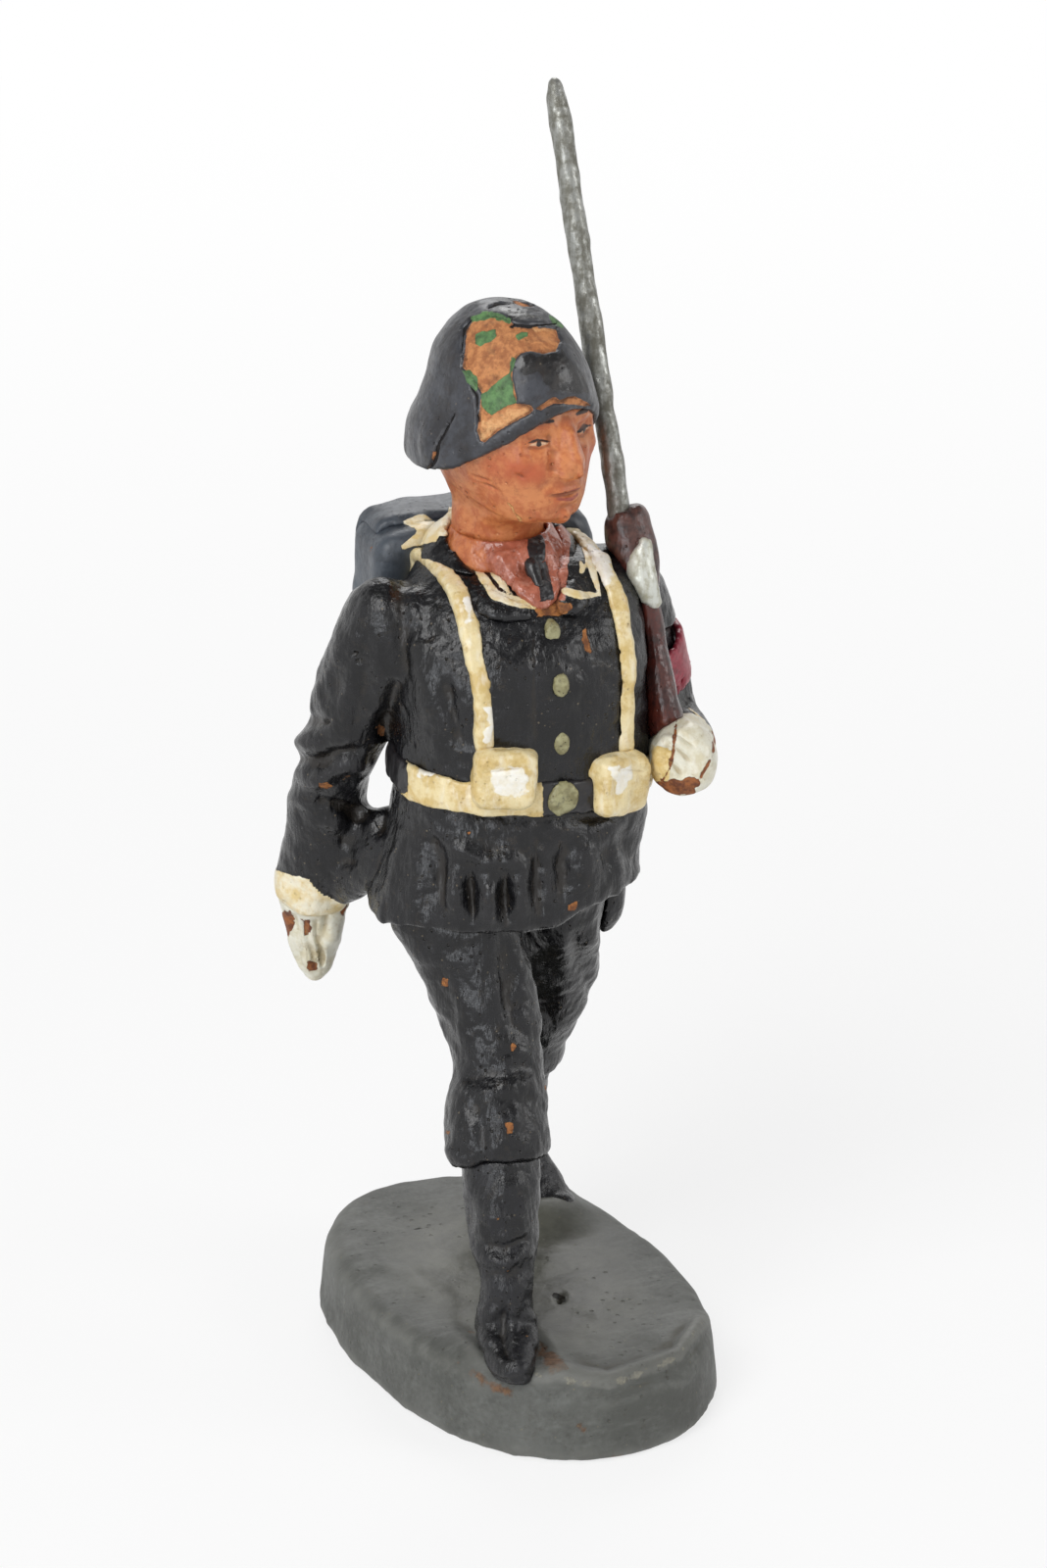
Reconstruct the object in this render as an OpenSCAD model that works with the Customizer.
// Marching toy soldier in painted composition over a wire armature, on an oval base.
// Frame: +Z up, the figure faces -Y, its own left is +X. Origin: centre of the base's underside.

/* [Base] */
// Length of the oval base
base_l = 36.4; // [33:0.5:44]
// Width of the oval base
base_w = 23.4; // [21:0.2:30]
// Thickness of the base
base_t = 5.5; // [4:0.1:8]
// Width of the worn slope round the base's top edge
base_edge = 0.9; // [0.3:0.1:1.4]
// Turn of the base under the figure, in degrees
base_turn = 6; // [0:1:10]
// Sideways place of the figure on the base
figure_x = -0.5; // [-1:0.1:0.5]

/* [Legs and boots] */
// Height of the tunic's hem above the base
hem_h = 29; // [27:0.5:33]
// Distance from the middle to each hip
hip_x = 3.6; // [3.4:0.1:4]
// Width of each thigh under the hem
thigh_w = 7.4; // [6.8:0.1:8]
// Width of the bloused knee
knee_w = 7.2; // [6.6:0.1:7.8]
// Height of the boot tops above the base
boot_h = 13; // [11:0.2:14.5]
// Width of the boot at its top
boot_top_w = 5.4; // [5:0.1:6]
// Width of the boot at the ankle
ankle_w = 3.7; // [3.4:0.1:4.2]
// Length of each boot's foot
foot_l = 8.4; // [7.6:0.1:9.4]
// Width of each boot's foot
foot_w = 4.4; // [4:0.1:5]
// How far the front ankle stands before the hips
stride_front = 11.2; // [9:0.2:11.6]
// How far the rear ankle stands behind the hips
stride_rear = 11.4; // [10:0.2:12]

/* [Tunic] */
// Rise of the belt line above the hem
belt_rise = 10.2; // [9:0.2:11.5]
// Rise of the shoulders above the belt line
shoulder_rise = 13.9; // [13:0.1:15.5]
// Width of the tunic at the hem
skirt_w = 17; // [16.4:0.2:18]
// Depth of the tunic at the hem
skirt_d = 15; // [14:0.2:16]
// Width of the waist
waist_w = 16.8; // [16:0.2:17.8]
// Depth of the waist
waist_d = 12.8; // [12:0.2:13.6]
// Width of the chest
chest_w = 17; // [16.2:0.2:18]
// Depth of the chest
chest_d = 13; // [12.2:0.2:13.8]

/* [Arms] */
// Diameter of the sleeve at the shoulder
shoulder_dia = 6.4; // [5.8:0.1:7]
// Diameter of the sleeve at the elbow
elbow_dia = 5.2; // [4.8:0.1:5.6]
// Diameter of the sleeve at the cuff
cuff_dia = 5.2; // [4.8:0.1:5.6]
// Length from shoulder to elbow
upper_arm_l = 12.6; // [12:0.2:13.4]
// Length from elbow to cuff
forearm_l = 11.6; // [11:0.2:12.4]
// Length of a hand
hand_l = 7; // [6.4:0.2:7.8]
// Width of a hand
hand_w = 4.2; // [3.8:0.1:4.6]
// Height of the band on the left sleeve
armband_h = 3.6; // [3:0.1:4.2]

/* [Head] */
// Height from the neck seat to the crown of the head
head_h = 16.2; // [15.4:0.1:17]
// Width of the head at the brow
head_w = 10.2; // [9.6:0.1:10.8]
// Depth of the head at the brow
head_d = 12.4; // [11.8:0.1:13]
// Diameter of the neck
neck_dia = 6.4; // [5.8:0.1:6.8]
// Turn of the head to the figure's left, in degrees
head_turn = 20; // [10:1:24]

/* [Helmet] */
// Width of the helmet's crown
helmet_w = 11; // [10.8:0.1:11.4]
// Length of the helmet's crown
helmet_l = 13.2; // [13:0.1:13.8]
// Spread of the flared rim beyond the crown
helmet_flare = 1.1; // [0.7:0.1:1.4]
// Wall left over the crown of the head
helmet_wall = 1; // [0.7:0.1:1.4]

/* [Belt kit] */
// Height of the belt
belt_h = 2.3; // [1.9:0.1:2.7]
// Thickness of the belt and of the straps
strap_t = 0.45; // [0.35:0.05:0.6]
// Width of a shoulder strap
strap_w = 1.8; // [1.5:0.1:2]
// Width of an ammunition pouch
pouch_w = 4.2; // [3.8:0.1:4.6]
// Height of an ammunition pouch
pouch_h = 4.1; // [3.8:0.1:4.6]
// Depth of an ammunition pouch
pouch_d = 1.5; // [1.2:0.1:1.8]
// Distance from the middle to each pouch
pouch_x = 4; // [3.7:0.1:4.4]
// How far the right pouch rides above the left one
pouch_lift = 1.1; // [0:0.1:1.4]
// How far the pouches ride above the middle of the belt
pouch_rise = 1.1; // [0.6:0.1:1.4]
// Sideways place of the buckle and buttons on the tunic
kit_x = 0.4; // [0:0.1:0.6]
// Diameter of the round belt buckle
buckle_dia = 2.3; // [1.9:0.1:2.6]
// Diameter of a tunic button
button_dia = 1.2; // [1:0.1:1.5]
// Slope of the belt down to the figure's left, in degrees
belt_roll = 4; // [0:1:6]

/* [Pack] */
// Width of the pack
pack_w = 15.6; // [14.6:0.2:16]
// Height of the pack
pack_h = 14.6; // [13:0.2:15]
// Depth of the pack behind the back
pack_d = 5.6; // [5:0.1:6.2]
// Thickness of the pack's flap
flap_t = 0.5; // [0.4:0.1:0.8]

/* [Rifle] */
// Diameter of the metal barrel rod
barrel_dia = 1.5; // [1.3:0.05:1.6]
// Length of the barrel that shows above the stock
barrel_l = 28.8; // [25:0.2:32]
// Depth of the barrel's socket in the stock
barrel_socket = 2.4; // [2:0.2:2.6]
// Length of the stock
stock_l = 17.2; // [16.6:0.2:18]
// Width of the stock at its top
stock_w = 3.1; // [2.8:0.1:3.4]
// Backward lean of the barrel, in degrees
barrel_lean = 21; // [19:1:23]
// Backward lean of the stock, in degrees
stock_lean = 16; // [14:1:18]

/* [Armature and fits] */
// Diameter of the armature wire in the legs
leg_wire_dia = 1.1; // [0.8:0.1:1.3]
// Diameter of the armature wire in the arms
arm_wire_dia = 0.9; // [0.7:0.1:1.1]
// Diameter of the peg that the head turns on
peg_dia = 1.6; // [1.2:0.1:2]
// Clearance round a wire that is bedded in the composition
wire_clear = 0.04; // [0.02:0.01:0.05]
// Running clearance of the head on its peg
peg_clear = 0.05; // [0.03:0.01:0.08]
// Gap between the turning neck and what surrounds it
neck_gap = 0.2; // [0.15:0.05:0.3]

/* [Hidden] */
$fn = 48;

black = "#26262b";
boot_black = "#1d1d22";
cream = "#e6dcb4";
glove_white = "#e9e4d2";
flesh = "#c9702f";
shirt_brown = "#a4573a";
gold = "#9a9263";
pack_grey = "#535b60";
base_grey = "#4d514d";
wood_brown = "#56211a";
steel = "#8d8f86";
band_red = "#a8313f";
wire_iron = "#5a5048";

// Heights of the figure's main lines
hem_z = base_t + hem_h;
belt_z = hem_z + belt_rise;
shoulder_z = belt_z + shoulder_rise;
boot_z = base_t + boot_h;
knee_z = boot_z + 2.8;
neck_z = shoulder_z + 0.3;

// Places of the body's centre lines
body_y = -1.9;
chest_y = -1.6;
neck_x = -0.2;
neck_y = 1;
tunic_power = 2.4;
hem_x = -0.6;

// Smooth curve through a list of stations, each a vector of numbers
function lerp(a, b, t) = a + (b - a) * t;
function unit(v) = v / norm(v);
function curve_point(a, b, c, d, t) =
    0.5 * (2 * b + (c - a) * t + (2 * a - 5 * b + 4 * c - d) * t * t + (3 * b - a - 3 * c + d) * t * t * t);
function station(s, i) = s[max(0, min(len(s) - 1, i))];
function curve(s, steps) = [
    for (i = [0:len(s) - 2]) for (j = [0:steps - 1])
        curve_point(station(s, i - 1), s[i], s[i + 1], station(s, i + 2), j / steps),
    s[len(s) - 1]];

// Rounded outline of n points in the plane of u and v: power 2 is an ellipse, more is squarer
function soft(x, power) = sign(x) * pow(abs(x), 2 / power);
function ring(c, u, v, a, b, power, n) = [
    for (i = [0:n - 1])
        let (t = 360 * (i + 0.5) / n)
            c + u * a * soft(cos(t), power) + v * b * soft(sin(t), power)];

// Closed skin over a list of rings, each wound the same way round the direction of travel
module skin(rings) {
    n = len(rings[0]);
    last = (len(rings) - 1) * n;
    polyhedron(
        points = [for (r = rings) each r],
        faces = concat(
            [[for (j = [0:n - 1]) j]],
            [[for (j = [n - 1:-1:0]) last + j]],
            [for (i = [0:len(rings) - 2]) for (j = [0:n - 1])
                [i * n + j, (i + 1) * n + j, (i + 1) * n + (j + 1) % n]],
            [for (i = [0:len(rings) - 2]) for (j = [0:n - 1])
                [i * n + j, (i + 1) * n + (j + 1) % n, i * n + (j + 1) % n]]));
}

// Limb along stations [x, y, z, half width, half depth]; width runs along the side direction
function heading(s, i) = unit([for (k = [0:2]) station(s, i + 1)[k] - station(s, i - 1)[k]]);
function across(side, t) = unit(side - (side * t) * t);
function place(s) = [s[0], s[1], s[2]];
function limb_rings(s, side, power, n) = [
    for (i = [0:len(s) - 1])
        let (t = heading(s, i), u = across(len(s[i]) > 5 ? [s[i][5], s[i][6], s[i][7]] : side, t))
            ring(place(s[i]), u, cross(t, u), s[i][3], s[i][4], power, n)];
module limb(stations, side = [1, 0, 0], steps = 3, power = 2, n = 16)
    skin(limb_rings(curve(stations, steps), side, power, n));

// Level stack of sections [z, half width, half depth, middle x, middle y]
module stack(sections, power = 2, n = 24)
    skin([for (s = sections) ring([s[3], s[4], s[0]], [1, 0, 0], [0, 1, 0], s[1], s[2], power, n)]);

// Straight rod from one point to another, and a bent wire through a list of points
module rod(from, to, r) {
    d = to - from;
    translate(from) rotate([0, acos(d[2] / norm(d)), atan2(d[1], d[0])]) cylinder(h = norm(d), r = r);
}
module wire(points, r)
    limb([for (p = points) concat(p, [r, r])], side = [1, 1, 0], steps = 1, n = 10);

// Everything below a level, to cut a sole flat
module below(z) translate([-50, -50, z - 40]) cube([100, 100, 40]);

// Base

base_foot = 0.3;
base_taper = 0.5;
function base_ring(z, inset) =
    ring([0, 0, z], [cos(base_turn), sin(base_turn), 0], [-sin(base_turn), cos(base_turn), 0],
        base_w / 2 - inset, base_l / 2 - inset, 2.25, 56);
module base_core()
    skin([base_ring(0, base_foot), base_ring(base_foot, 0), base_ring(base_t - base_edge, base_taper),
        base_ring(base_t - base_edge * 0.3, base_taper + base_edge * 0.35),
        base_ring(base_t, base_taper + base_edge)]);

// Tunic: the body's section at each height carries everything that is worn on it

tunic_stations = [
    [hem_z, skirt_w / 2, skirt_d / 2, hem_x, body_y + 0.3],
    [lerp(hem_z, belt_z, 0.5), (skirt_w + waist_w) / 4 + 0.15, (skirt_d + waist_d) / 4,
        hem_x / 2, body_y + 0.1],
    [belt_z, waist_w / 2, waist_d / 2, 0, body_y],
    [lerp(belt_z, shoulder_z, 0.35), chest_w / 2 - 0.15, chest_d / 2 - 0.05, 0, body_y],
    [lerp(belt_z, shoulder_z, 0.65), chest_w / 2, chest_d / 2 - 0.25, 0, chest_y],
    [lerp(belt_z, shoulder_z, 0.9), chest_w * 0.45, chest_d * 0.40, 0.4, lerp(chest_y, neck_y, 0.5)],
    [shoulder_z, neck_dia * 0.84, neck_dia * 0.7, neck_x + 0.3, neck_y]];
tunic_sections = curve(tunic_stations, 3);
function tunic_at(z, k) = lookup(z, [for (s = tunic_sections) [s[0], s[k]]]);
function tunic_reach(x, z) =
    let (share = min(1, abs(x - tunic_at(z, 3)) / tunic_at(z, 1)))
        tunic_at(z, 2) * pow(1 - pow(share, tunic_power), 1 / tunic_power);
function tunic_front(x, z) = tunic_at(z, 4) - tunic_reach(x, z);
function tunic_back(x, z) = tunic_at(z, 4) + tunic_reach(x, z);
module tunic_core() stack(tunic_sections, tunic_power, 36);

// Legs: each is a list of centre points from hip to ankle

hip_r = [-hip_x, 0.2, hem_z + 1.5];
ankle_r = [-hip_x - 0.7, 0.2 - stride_front, base_t + 5];
hip_l = [hip_x, 0.4, hem_z + 1.5];
knee_l = [hip_x - 0.2, 7.4, knee_z];
ankle_l = [hip_x + 0.5, 0.4 + stride_rear, base_t + 5.6];
function along(from, to, z) = lerp(from, to, (z - from[2]) / (to[2] - from[2]));
knee_r = along(ankle_r, hip_r, knee_z) + [0.6, 0, 0];
boot_top_r = along(ankle_r, knee_r, boot_z);
boot_top_l = along(ankle_l, knee_l, boot_z);
thigh_sway_r = 0.7;
thigh_sway_l = 1.3;

function leg_station(c, w, d) = [c[0], c[1], c[2], w / 2, d / 2];
module breeches_core(hip, knee, boot_top, sway)
    limb([
        leg_station(hip, thigh_w, thigh_w + 1.2),
        leg_station(lerp(hip, knee, 0.4) + [sway / 2, 0, 0], thigh_w * 0.93, thigh_w + 0.4),
        leg_station(lerp(hip, knee, 0.75) + [sway, 0, 0], thigh_w * 0.82, thigh_w - 0.6),
        leg_station(knee, knee_w, knee_w + 0.2),
        leg_station(lerp(knee, boot_top, 0.7), knee_w * 0.98, knee_w + 0.1),
        leg_station(boot_top, knee_w * 0.86, knee_w * 0.88)], n = 20);

module boot_shaft(boot_top, ankle)
    limb([
        leg_station(boot_top, boot_top_w, boot_top_w + 0.3),
        leg_station(lerp(boot_top, ankle, 0.45), boot_top_w * 0.88, boot_top_w),
        leg_station(ankle, ankle_w, ankle_w + 0.4),
        leg_station(ankle - [0, -0.1, ankle_w * 0.55], ankle_w, ankle_w + 1)], n = 18);
// Foot from heel to toe: the toe direction is level, the heel lies higher by its lift
module boot_foot(ankle, toward, sole_z, lift, heel_back) {
    heel = [ankle[0], ankle[1], 0] - toward * heel_back;
    limb([
        concat(heel + [0, 0, sole_z + lift + 1.5], [foot_w * 0.32, 1.7]),
        concat(heel + toward * foot_l * 0.18 + [0, 0, sole_z + lift * 0.8 + 1.8], [foot_w * 0.44, 2.3]),
        concat(heel + toward * foot_l * 0.45 + [0, 0, sole_z + lift * 0.4 + 1.6], [foot_w * 0.44, 2.1]),
        concat(heel + toward * foot_l * 0.74 + [0, 0, sole_z + 1], [foot_w * 0.5, 1.5]),
        concat(heel + toward * foot_l * 0.93 + [0, 0, sole_z + 0.7], [foot_w * 0.38, 1.1]),
        concat(heel + toward * foot_l + [0, 0, sole_z + 0.5], [foot_w * 0.2, 0.6])], n = 16);
}
toe_r = unit([-0.18, -1, 0]);
toe_l = unit([0.5, -1, 0]);
heel_lift = 4.4;
heel_back_r = 3;
heel_back_l = 2.6;
module boot_right_core() {
    boot_shaft(boot_top_r, ankle_r);
    boot_foot(ankle_r, toe_r, base_t, 0, heel_back_r);
}
module boot_left_core() {
    boot_shaft(boot_top_l, ankle_l);
    boot_foot(ankle_l, toe_l, base_t, heel_lift, heel_back_l);
}

// Armature: bent wires through the legs, across the arms, and the head's peg

wire_foot_z = base_t * 0.3;
wire_top_z = belt_z - 1;
leg_path_r = [[ankle_r[0], ankle_r[1], wire_foot_z], ankle_r, knee_r, along(knee_r, hip_r, wire_top_z)];
ball_l = ankle_l + toe_l * foot_l * 0.42;
leg_path_l = [[ball_l[0], ball_l[1], wire_foot_z], [ball_l[0], ball_l[1], base_t + 1.2], ankle_l, knee_l,
    along(knee_l, hip_l, wire_top_z)];
leg_wire_r = leg_wire_dia / 2;
arm_wire_r = arm_wire_dia / 2;
peg_r = peg_dia / 2;
peg_depth = 7;
peg_rise = 9;

// Arms: shoulder, elbow and cuff of each

shoulder_drop = 3.2;
forearm_hidden = 4.2;
shoulder_in = 0.3;
arm_out = chest_w / 2 + shoulder_in;
shoulder_r = [-arm_out, 0, shoulder_z - shoulder_drop];
shoulder_l = [arm_out - 0.9, 0.2, shoulder_z - shoulder_drop];
elbow_r = shoulder_r + upper_arm_l * unit([-2, 4.6, -11.4]);
cuff_r = elbow_r + forearm_l * unit([-0.3, 3.6, -10.8]);
tip_r = cuff_r + hand_l * unit([0.4, 1.6, -7.6]);
elbow_l = shoulder_l + upper_arm_l * unit([3.8, 2.6, -10.2]);
cuff_l = elbow_l + (forearm_l - forearm_hidden) * unit([-1.5, -7, 1]);
tip_l = cuff_l + hand_l * 0.8 * unit([-1.7, -5.2, 1.1]);

function arm_station(c, w, d) = [c[0], c[1], c[2], w / 2, d / 2];
upper_w = lerp(shoulder_dia, elbow_dia, 0.5);
upper_d = lerp(shoulder_dia, elbow_dia, 0.3);
module sleeve_core(shoulder, elbow, cuff, inward) {
    down = unit(elbow - shoulder);
    limb([
        arm_station(shoulder + [inward * 1.6, 0, 1.9], shoulder_dia * 0.55, shoulder_dia * 0.6),
        arm_station(shoulder + [inward * 0.5, 0, 0.6], shoulder_dia * 0.94, shoulder_dia * 0.96),
        arm_station(lerp(shoulder, elbow, 0.4), upper_w, upper_d),
        arm_station(elbow, elbow_dia, elbow_dia + 0.3),
        arm_station(elbow + elbow_dia * 0.3 * down, elbow_dia * 0.8, elbow_dia * 0.8),
        arm_station(elbow + elbow_dia * 0.45 * down, elbow_dia * 0.36, elbow_dia * 0.36)], n = 18);
    limb([
        arm_station(elbow - elbow_dia * 0.28 * unit(cuff - elbow), elbow_dia * 0.66, elbow_dia * 0.66),
        arm_station(elbow, elbow_dia * 0.97, elbow_dia * 0.97),
        arm_station(lerp(elbow, cuff, 0.5), lerp(elbow_dia, cuff_dia, 0.5) - 0.1, elbow_dia),
        arm_station(cuff, cuff_dia, cuff_dia)], n = 18);
}
// Web of composition that joins the right forearm to the tunic's skirt
web_h = 6.4;
module arm_web()
    limb([
        arm_station(lerp(elbow_r, cuff_r, 0.78) + [1, -0.2, 0], web_h * 0.9, 3.4),
        arm_station([-skirt_w / 2 + 1, 1.6, hem_z + 3.6], web_h, 3.6)], side = [0, 0, 1], steps = 2, n = 12);
module sleeve_right_core() {
    sleeve_core(shoulder_r, elbow_r, cuff_r, 1);
    arm_web();
}
module sleeve_left_core() sleeve_core(shoulder_l, elbow_l, cuff_l, -1);

module glove_right_core()
    limb([
        arm_station(cuff_r, cuff_dia * 0.96, cuff_dia * 0.96),
        arm_station(lerp(cuff_r, tip_r, 0.2), hand_w * 0.98, hand_w * 0.98),
        arm_station(lerp(cuff_r, tip_r, 0.45), hand_w * 0.92, hand_w),
        arm_station(lerp(cuff_r, tip_r, 0.75), hand_w * 0.66, hand_w * 0.8),
        arm_station(tip_r, hand_w * 0.3, hand_w * 0.42)], n = 16);
module glove_left_core()
    limb([
        arm_station(cuff_l, cuff_dia * 0.96, cuff_dia * 0.96),
        arm_station(lerp(cuff_l, tip_l, 0.3), hand_w * 1.06, hand_w * 1.12),
        arm_station(lerp(cuff_l, tip_l, 0.62), hand_w * 1.08, hand_w * 1.14),
        arm_station(lerp(cuff_l, tip_l, 0.88), hand_w * 0.96, hand_w * 1.06),
        arm_station(tip_l, hand_w * 0.6, hand_w * 0.66)], n = 16);

arm_path = [lerp(cuff_r, tip_r, 0.3), elbow_r, shoulder_r + [0.4, -0.8, 0], shoulder_l + [-0.4, -1, 0],
    elbow_l, lerp(elbow_l, cuff_l, 0.8)];

// Belt, pouches, straps, buckle and buttons

module belt_tilt()
    translate([0, body_y, belt_z]) rotate([0, belt_roll, 0]) translate([0, -body_y, -belt_z]) children();
belt_low = belt_z - belt_h / 2;
belt_high = belt_z + belt_h / 2;
function belt_section(z, grow) = [z, tunic_at(z, 1) + grow, tunic_at(z, 2) + grow, 0, tunic_at(z, 4)];
module belt_core()
    belt_tilt() stack([belt_section(belt_low, strap_t * 0.8), belt_section(belt_low + 0.2, strap_t),
        belt_section(belt_high - 0.2, strap_t), belt_section(belt_high, strap_t * 0.8)], tunic_power, 36);

// Soft-cornered block that stands out of the tunic's front at x and z
module front_block(x, z, w, h, d, power = 5, n = 24) {
    y = tunic_front(x, z);
    lean = atan2(tunic_front(x + 0.5, z) - tunic_front(x - 0.5, z), 1);
    soft = min(0.6, w / 4, h / 4);
    translate([x, y, z]) rotate([0, 0, lean])
        limb([[0, 1.2, 0, w / 2, h / 2], [0, -d * 0.6, 0, w / 2, h / 2],
            [0, -d * 0.9, 0, w / 2 - soft / 3, h / 2 - soft / 3], [0, -d, 0, w / 2 - soft, h / 2 - soft]],
            steps = 1, power = power, n = n);
}
module pouch_core(s)
    belt_tilt()
        front_block(kit_x + s * pouch_x, belt_z + pouch_rise - s * pouch_lift / 2, pouch_w, pouch_h, pouch_d);
module buckle_core()
    belt_tilt() front_block(kit_x, belt_z, buckle_dia, buckle_dia, strap_t + 0.35, power = 2, n = 20);

button_zs = [for (k = [0.27, 0.56, 0.79]) lerp(belt_z, shoulder_z, k)];
module buttons_core()
    for (z = button_zs) front_block(kit_x, z, button_dia * 0.9, button_dia * 1.3, 0.4, power = 2, n = 12);

// Shoulder strap: up the chest from its pouch, over the shoulder and down to the pack
strap_top_right = 4.9;
strap_top_left = 5.5;
function strap_top(s) = s < 0 ? strap_top_right : strap_top_left;
strap_over = [2.6, 1.1, 0.35];
strap_tail = 4.4;
upper_sections = [for (i = [len(tunic_sections) - 1:-1:12]) tunic_sections[i]];
function shoulder_top(x) = lookup(abs(x), [for (s = upper_sections) [s[1] + sign(x) * s[3], s[0]]]);
function strap_x(s, k) = s * lerp(pouch_x + 0.9, strap_top(s), k) + kit_x * (1 - k);
function strap_path(s) =
    let (top_x = s * strap_top(s), top = shoulder_top(top_x)) concat(
        [for (k = [0, 0.35, 0.7]) let (x = strap_x(s, k), z = lerp(belt_high + 0.6, top - strap_over[0], k))
            [x, tunic_front(x, z), z]],
        [for (d = strap_over) [top_x, tunic_front(top_x, top - d), top - d]],
        [[top_x, tunic_at(top, 4), top]],
        [for (i = [2:-1:0]) [top_x, tunic_back(top_x, top - strap_over[i]), top - strap_over[i]]],
        [[top_x, tunic_back(top_x, top - strap_tail), top - strap_tail]]);
module strap_core(s)
    limb([for (p = strap_path(s)) [p[0], p[1], p[2], strap_w / 2, strap_t]], power = 3, n = 10);

// Pack on the back, its flap and the straps that close it

pack_top_z = shoulder_z + 1;
pack_y = tunic_back(0, shoulder_z - 5) - 0.6;
pack_mid_z = pack_top_z - pack_h / 2;
module pack_block(y_from, y_to, w, h, z, soft_edge)
    limb([
        [0, y_from, z, w / 2 - soft_edge, h / 2 - soft_edge], [0, y_from + soft_edge, z, w / 2, h / 2],
        [0, y_to - soft_edge, z, w / 2, h / 2], [0, y_to, z, w / 2 - soft_edge, h / 2 - soft_edge]],
        steps = 1, power = 8, n = 32);
module pack_core() pack_block(pack_y, pack_y + pack_d, pack_w, pack_h, pack_mid_z, 0.6);
flap_h = pack_h * 0.78;
flap_y = pack_y + pack_d + flap_t;
module flap_core()
    pack_block(pack_y + 1.6, flap_y, pack_w - 0.8, flap_h, pack_top_z + flap_t - flap_h / 2, 0.6);
module pack_straps_core()
    for (s = [-1, 1]) translate([s * pack_w * 0.25, 0, 0])
        pack_block(pack_y + pack_d - 0.6, flap_y + 0.4, 1.5, pack_h * 0.8, pack_mid_z - 0.4, 0.2);

// Pouch that hangs behind the left hip
hip_pouch_c = [skirt_w / 2 - 1.3, 3.2, hem_z - 0.6];
module hip_pouch_core()
    limb([
        concat(hip_pouch_c + [-0.6, -0.3, 4.2], [1.6, 1.8]), concat(hip_pouch_c + [0, 0, 2], [2, 2.3]),
        concat(hip_pouch_c + [0.1, 0.2, -2.4], [2, 2.4]), concat(hip_pouch_c + [0, 0.2, -4.4], [1.3, 1.6])],
        power = 2.6, n = 16);

// Collar, shirt and tie round the neck

collar_r = neck_dia / 2 + 1.1;
collar_h = 2.6;
collar_t = 1.15;
function round_neck(angle, r, z) = [neck_x + r * sin(angle), neck_y - r * cos(angle), z];
function collar_station(angle, r, rise) = concat(
    round_neck(angle, r, shoulder_z + rise), [collar_h / 2, collar_t / 2], [sin(angle), -cos(angle), -0.9]);
v_z = lerp(belt_z, shoulder_z, 0.87);
function v_point(s) = [s * 0.9 + 0.2, tunic_front(s * 0.9, v_z), v_z];
lapel_x = 2.7;
lapel_z = lerp(v_z, shoulder_z - 0.9, 0.55);
function lapel_station(s) =
    concat([s * lapel_x + neck_x, tunic_front(s * lapel_x, lapel_z) - 0.15, lapel_z], [1, 0.45],
        [s, -0.5, -0.7]);
module collar_core()
    limb([
        concat(v_point(-1), [0.5, 0.35], [-1, -0.4, -0.3]),
        lapel_station(-1),
        collar_station(-48, collar_r + 0.9, -0.9),
        collar_station(-95, collar_r, 0.6),
        collar_station(-140, collar_r - 0.1, 1.2),
        collar_station(-180, collar_r - 0.1, 1.4),
        collar_station(-220, collar_r - 0.1, 1.2),
        collar_station(-265, collar_r, 0.6),
        collar_station(-312, collar_r + 0.9, -0.9),
        lapel_station(1),
        concat(v_point(1), [0.5, 0.35], [1, -0.4, -0.3])], power = 2.6, n = 12);
shirt_r = neck_dia / 2 + neck_gap;
shirt_t = 0.7;
shirt_top_z = shoulder_z + 2;
shirt_lip = 0.25;
module shirt_ring()
    translate([neck_x, neck_y, shoulder_z - 1.5])
        cylinder(h = shirt_top_z - shoulder_z + 1.5, r1 = shirt_r + shirt_t * 1.4, r2 = shirt_r + shirt_lip);
module shirt_panel()
    limb([
        [v_point(0)[0], v_point(0)[1] + 0.2, v_z + 0.1, 0.5, 0.5],
        [v_point(0)[0], tunic_front(0, v_z + 0.9) + 0.1, v_z + 0.9, 1.6, 0.7],
        [neck_x + 0.3, neck_y - shirt_r - 0.7, shoulder_z - 0.4, 2.3, 1],
        [neck_x + 0.1, neck_y - shirt_r + 0.1, shirt_top_z - 0.5, 2.3, 1]], steps = 2, power = 2.4, n = 12);
tie_top = [neck_x + 0.3, neck_y - shirt_r - 1.4, shoulder_z + 0.6];
tie_low = [v_point(0)[0], tunic_front(0, v_z + 0.5) - 0.3, v_z + 0.5];
module tie_core()
    limb([
        concat(tie_top + [0, 0.4, 0.5], [0.35, 0.4]), concat(tie_top, [0.6, 0.6]),
        concat(lerp(tie_top, tie_low, 0.3), [0.42, 0.5]), concat(lerp(tie_top, tie_low, 0.75), [0.62, 0.45]),
        concat(tie_low, [0.4, 0.35])], steps = 2, n = 10);
// Room that the turning neck needs
module neck_room() translate([neck_x, neck_y, shoulder_z - 3]) cylinder(h = 12, r = shirt_r);

// Rifle: stock in the left hand and against the shoulder, metal barrel rod, lock

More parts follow.
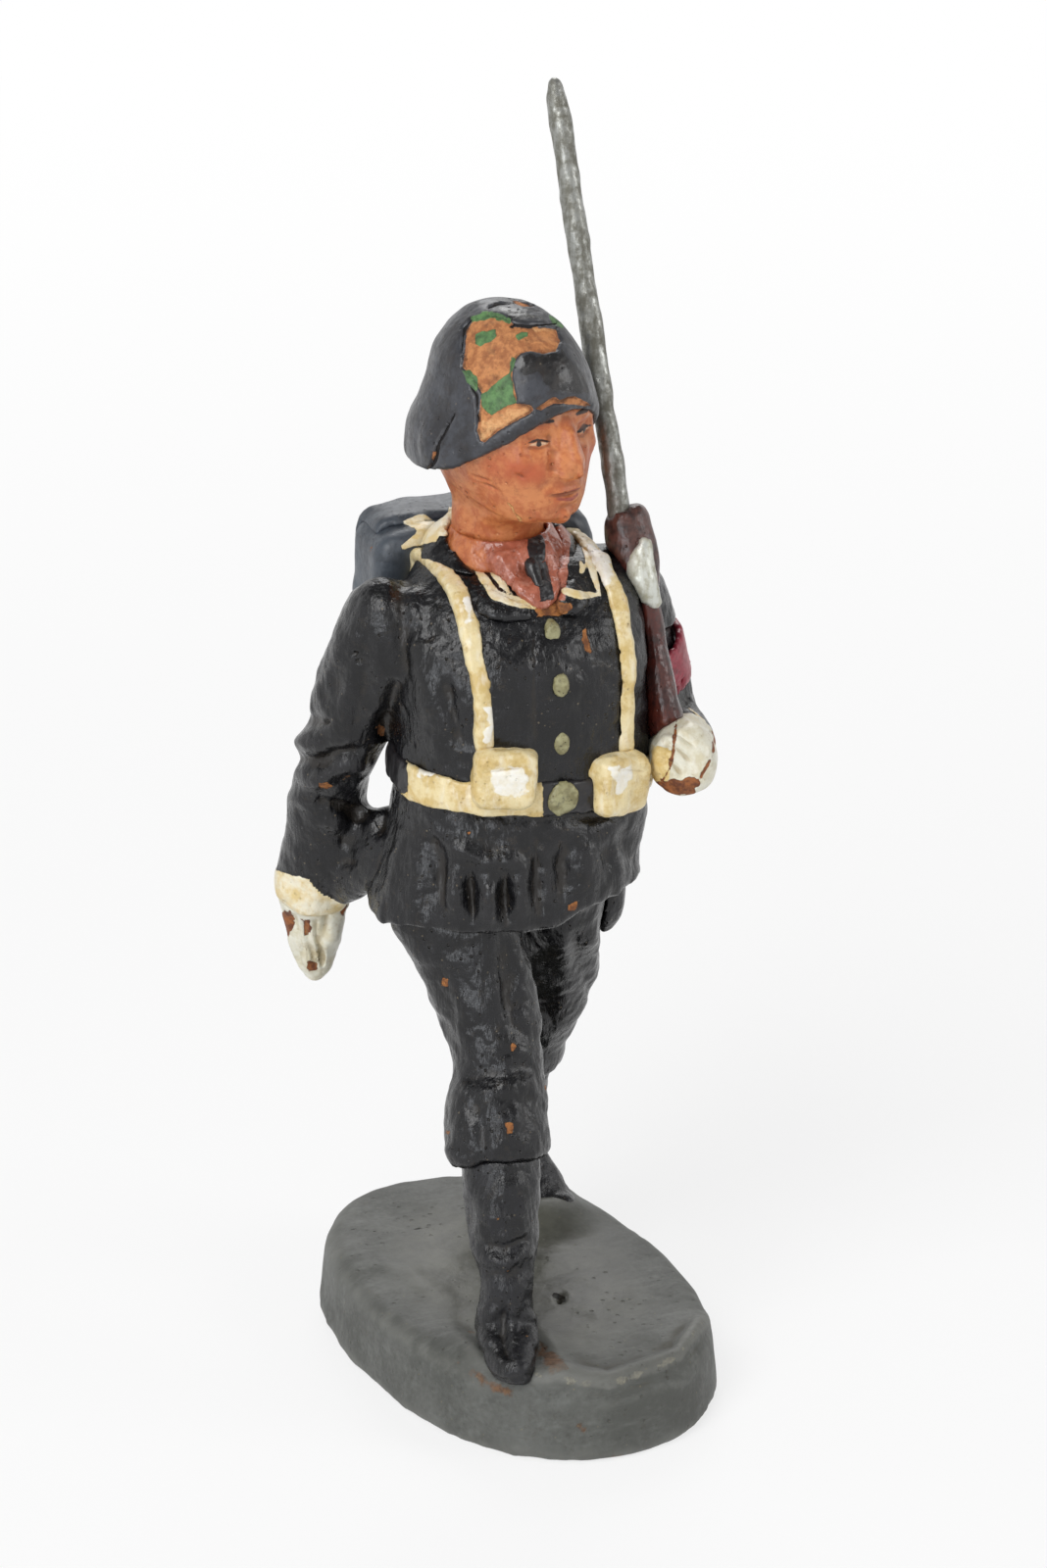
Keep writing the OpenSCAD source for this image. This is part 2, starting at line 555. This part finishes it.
barrel_dir = unit([-0.025, tan(barrel_lean), 1]);
stock_dir = unit([-0.08, tan(stock_lean), 1]);
stock_top = shoulder_l + [0.2, -0.5, 5.9];
stock_low = stock_top - stock_dir * stock_l;
function stock_at(k) = lerp(stock_low, stock_top, k);
module stock_core()
    limb([
        concat(stock_at(0), [1, 1.5]), concat(stock_at(0.06), [1.25, 1.9]),
        concat(stock_at(0.3), [1.2, 1.75]), concat(stock_at(0.5), [1.05, 1.35]),
        concat(stock_at(0.62), [1.15, 1.45]), concat(stock_at(0.8), [stock_w / 2, stock_w / 2 + 0.1]),
        concat(stock_at(0.94), [stock_w / 2, stock_w / 2]),
        concat(stock_at(1), [stock_w * 0.43, stock_w * 0.4])], power = 2.3, n = 16);
barrel_side = -0.5;
barrel_seat = stock_at(1) + [barrel_side, 0, 0] - barrel_dir * barrel_socket;
module along_barrel() {
    translate(barrel_seat) rotate([0, acos(barrel_dir[2]), atan2(barrel_dir[1], barrel_dir[0])]) children();
}
barrel_point = 3;
lock_k = 0.76;
module lock_core()
    limb([
        concat(stock_at(lock_k - 0.14) + [0.6, -0.9, 0], [0.55, 0.7]),
        concat(stock_at(lock_k - 0.05) + [-0.1, -1.3, 0], [0.95, 1]),
        concat(stock_at(lock_k + 0.05) + [-0.1, -1.4, 0], [0.95, 1]),
        concat(stock_at(lock_k + 0.13) + [0.5, -1.3, 0], [0.5, 0.7])],
        steps = 3, n = 12);

// Head and helmet, drawn round the peg's axis with the neck seat at zero

head_front = -1;
head_stations = [
    [0, neck_dia / 2, neck_dia / 2, 0, 0],
    [2.4, neck_dia / 2, neck_dia / 2, 0, 0],
    [3.2, head_w * 0.32, head_d * 0.33, 0, -0.7],
    [4.1, head_w * 0.33, head_d * 0.41, 0, head_front - 0.35],
    [6.2, head_w * 0.41, head_d * 0.46, 0, head_front],
    [head_h * 0.55, head_w * 0.485, head_d * 0.49, 0, head_front + 0.35],
    [head_h * 0.68, head_w * 0.48, head_d * 0.49, 0, -0.2],
    [head_h * 0.82, head_w * 0.4, head_d * 0.4, 0, 0],
    [head_h * 0.92, head_w * 0.27, head_d * 0.27, 0, 0.1],
    [head_h * 0.97, head_w * 0.12, head_d * 0.12, 0, 0.1]];
module head_core() {
    stack(curve(head_stations, 2), 2.15, 24);
    nose();
}
module nose()
    limb([
        [0, -head_d * 0.49, head_h * 0.64, 0.5, 0.6], [0, -head_d * 0.51 - 0.35, head_h * 0.55, 0.62, 0.8],
        [0, -head_d * 0.51 - 0.75, head_h * 0.475, 0.8, 0.75],
        [0, -head_d * 0.49 - 0.3, head_h * 0.43, 0.6, 0.5]],
        steps = 2, n = 10);

// Helmet: crown over a rim that is high at the brow, lower at the sides and lowest at the nape
crown_z = head_h + helmet_wall;
brow_z = head_h * 0.705;
nape_z = head_h * 0.375;
function rim_z(t) = lerp(brow_z, nape_z, 1 - pow((1 - sin(t)) / 2, 3));
function flare(t) = helmet_flare * (0.25 + 0.75 * pow((1 + sin(t)) / 2, 0.45));
function helmet_point(t, k) =
    let (dome = pow(1 - pow(k, 2.7), 0.5), tuck = 1 - rim_tuck * pow(1 - min(1, k / rim_round), 2),
        spread = flare(t) * tuck * pow(1 - min(1, k / 0.4), 2))
        [(helmet_w / 2 * dome + spread) * cos(t), (helmet_l / 2 * dome + spread) * sin(t) + helmet_shift,
            lerp(rim_z(t), crown_z, k)];
helmet_shift = -0.2;
rim_tuck = 0.9;
rim_round = 0.14;
helmet_n = 36;
helmet_levels = [0, 0.06, 0.13, 0.22, 0.33, 0.46, 0.6, 0.73, 0.84, 0.92, 0.975];
module helmet_core() {
    n = helmet_n;
    rings = [for (k = helmet_levels) [for (i = [0:n - 1]) helmet_point(360 * i / n, k)]];
    count = len(rings) * n;
    last = count - n;
    polyhedron(
        points = concat([for (r = rings) each r], [[0, helmet_shift, crown_z], [0, 0.4, brow_z + 0.6]]),
        faces = concat(
            [for (i = [0:len(rings) - 2]) for (j = [0:n - 1])
                [i * n + j, (i + 1) * n + j, (i + 1) * n + (j + 1) % n]],
            [for (i = [0:len(rings) - 2]) for (j = [0:n - 1])
                [i * n + j, (i + 1) * n + (j + 1) % n, i * n + (j + 1) % n]],
            [for (j = [0:n - 1]) [last + j, count, last + (j + 1) % n]],
            [for (j = [0:n - 1]) [j, (j + 1) % n, count + 1]]));
}
module on_neck() translate([neck_x, neck_y, neck_z]) rotate([0, 0, head_turn]) children();

// Wires as channels in the pieces that they pass through
module leg_channels() {
    wire(leg_path_r, leg_wire_r + wire_clear);
    wire(leg_path_l, leg_wire_r + wire_clear);
}
module arm_channel() wire(arm_path, arm_wire_r + wire_clear);

// Nodes

module on_base() translate([figure_x, 0, 0]) children();
module base() color(base_grey) difference() {
    base_core();
    on_base() leg_channels();
}
module boot_right() color(boot_black) on_base() difference() {
    boot_right_core();
    below(base_t);
    breeches_right_cut();
    wire(leg_path_r, leg_wire_r + wire_clear);
}
module boot_left() color(boot_black) on_base() difference() {
    boot_left_core();
    below(base_t);
    breeches_left_cut();
    wire(leg_path_l, leg_wire_r + wire_clear);
}
module breeches_right_cut() breeches_core(hip_r, knee_r, boot_top_r, thigh_sway_r);
module breeches_left_cut() breeches_core(hip_l, knee_l, boot_top_l, thigh_sway_l);
module half(s) translate([s > 0 ? 0 : -40, -40, 0]) cube([40, 80, 100]);
module breeches_right() color(black) on_base() difference() {
    intersection() {
        breeches_right_cut();
        half(-1);
    }
    tunic_core();
    wire(leg_path_r, leg_wire_r + wire_clear);
}
module breeches_left() color(black) on_base() difference() {
    intersection() {
        breeches_left_cut();
        half(1);
    }
    tunic_core();
    wire(leg_path_l, leg_wire_r + wire_clear);
}
module tunic() color(black) on_base() difference() {
    tunic_core();
    leg_channels();
    arm_channel();
    translate([neck_x, neck_y, neck_z - peg_depth])
        cylinder(h = peg_depth + peg_rise, r = peg_r + wire_clear);
}
module collar() color(black) on_base() difference() {
    collar_core();
    tunic_core();
    shirt_ring();
    neck_room();
}
module shirt_front() color(shirt_brown) on_base() difference() {
    union() {
        shirt_ring();
        difference() {
            shirt_panel();
            collar_core();
        }
    }
    tunic_core();
    neck_room();
}
module necktie() color(boot_black) on_base() difference() {
    tie_core();
    tunic_core();
    collar_core();
    shirt_ring();
    shirt_panel();
    neck_room();
}
module sleeve_right() color(black) on_base() difference() {
    sleeve_right_core();
    tunic_core();
    belt_core();
    arm_channel();
}
module sleeve_left() color(black) on_base() difference() {
    sleeve_left_core();
    tunic_core();
    belt_core();
    arm_channel();
}
module glove_right() color(glove_white) on_base() difference() {
    glove_right_core();
    sleeve_right_core();
    arm_channel();
}
module glove_left() color(glove_white) on_base() difference() {
    glove_left_core();
    sleeve_left_core();
    tunic_core();
    pouch_core(1);
    belt_core();
}
band_c = lerp(shoulder_l, elbow_l, 0.52);
band_dir = unit(elbow_l - shoulder_l);
armband_t = 0.25;
module armband() color(band_red) on_base() difference() {
    intersection() {
        limb([
            arm_station(lerp(shoulder_l, elbow_l, 0.1), shoulder_dia * 1.1, shoulder_dia * 1.1),
            arm_station(lerp(shoulder_l, elbow_l, 0.4), upper_w + armband_t * 2, upper_d + armband_t * 2),
            arm_station(elbow_l, elbow_dia + armband_t * 2, elbow_dia + armband_t * 2 + 0.3)], n = 18);
        rod(band_c - band_dir * armband_h / 2, band_c + band_dir * armband_h / 2, shoulder_dia);
    }
    sleeve_left_core();
    tunic_core();
    stock_core();
}
module belt() color(cream) on_base() difference() {
    belt_core();
    tunic_core();
}
module belt_buckle() color(gold) on_base() difference() {
    buckle_core();
    belt_core();
    tunic_core();
}
module pouch_right() color(cream) on_base() difference() {
    pouch_core(-1);
    belt_core();
    tunic_core();
}
module pouch_left() color(cream) on_base() difference() {
    pouch_core(1);
    belt_core();
    tunic_core();
}
module shoulder_strap_right() color(cream) on_base() difference() {
    strap_core(-1);
    tunic_core();
    collar_core();
    shirt_ring();
    neck_room();
    pouch_core(-1);
}
module shoulder_strap_left() color(cream) on_base() difference() {
    strap_core(1);
    tunic_core();
    collar_core();
    shirt_ring();
    neck_room();
    pouch_core(1);
}
module tunic_buttons() color(gold) on_base() difference() {
    buttons_core();
    tunic_core();
    collar_core();
}
module backpack() color(pack_grey) on_base() difference() {
    pack_core();
    tunic_core();
    collar_core();
    neck_room();
    shirt_ring();
    belt_core();
    strap_core(-1);
    strap_core(1);
}
module pack_flap() color(pack_grey) on_base() difference() {
    flap_core();
    pack_core();
    collar_core();
    shirt_ring();
    tunic_core();
}
module pack_straps() color(boot_black) on_base() difference() {
    pack_straps_core();
    flap_core();
    pack_core();
}
module hip_pouch() color(black) on_base() difference() {
    hip_pouch_core();
    tunic_core();
    belt_core();
    breeches_left_cut();
}
module rifle_stock() color(wood_brown) on_base() difference() {
    stock_core();
    tunic_core();
    sleeve_left_core();
    strap_core(1);
    belt_core();
    pouch_core(1);
    glove_left_core();
    along_barrel() cylinder(h = barrel_socket * 2, r = barrel_dia / 2 + wire_clear);
}
module rifle_lock() color(steel) on_base() difference() {
    lock_core();
    stock_core();
    tunic_core();
    sleeve_left_core();
}
module rifle_barrel() color(steel) on_base() along_barrel() rotate_extrude() polygon([
    [0, 0], [barrel_dia / 2, 0], [barrel_dia / 2, barrel_socket + barrel_l - barrel_point],
    [barrel_dia * 0.42, barrel_socket + barrel_l - barrel_point * 0.5],
    [barrel_dia * 0.26, barrel_socket + barrel_l - barrel_point * 0.12], [0, barrel_socket + barrel_l]]);
module head() color(flesh) on_base() on_neck() difference() {
    head_core();
    translate([0, 0, -1]) cylinder(h = peg_rise + 1.1, r = peg_r + peg_clear);
}
module helmet() color(black) on_base() on_neck() difference() {
    helmet_core();
    head_core();
}
module leg_wire_right() color(wire_iron) on_base() wire(leg_path_r, leg_wire_r);
module leg_wire_left() color(wire_iron) on_base() wire(leg_path_l, leg_wire_r);
module arm_wire() color(wire_iron) on_base() wire(arm_path, arm_wire_r);
module neck_peg() color(wire_iron) on_base()
    translate([neck_x, neck_y, neck_z - peg_depth]) cylinder(h = peg_depth + peg_rise, r = peg_r);

base();
boot_right();
boot_left();
breeches_right();
breeches_left();
tunic();
collar();
shirt_front();
necktie();
sleeve_right();
sleeve_left();
glove_right();
glove_left();
armband();
belt();
belt_buckle();
pouch_right();
pouch_left();
shoulder_strap_right();
shoulder_strap_left();
tunic_buttons();
backpack();
pack_flap();
pack_straps();
hip_pouch();
rifle_stock();
rifle_lock();
rifle_barrel();
head();
helmet();
leg_wire_right();
leg_wire_left();
arm_wire();
neck_peg();
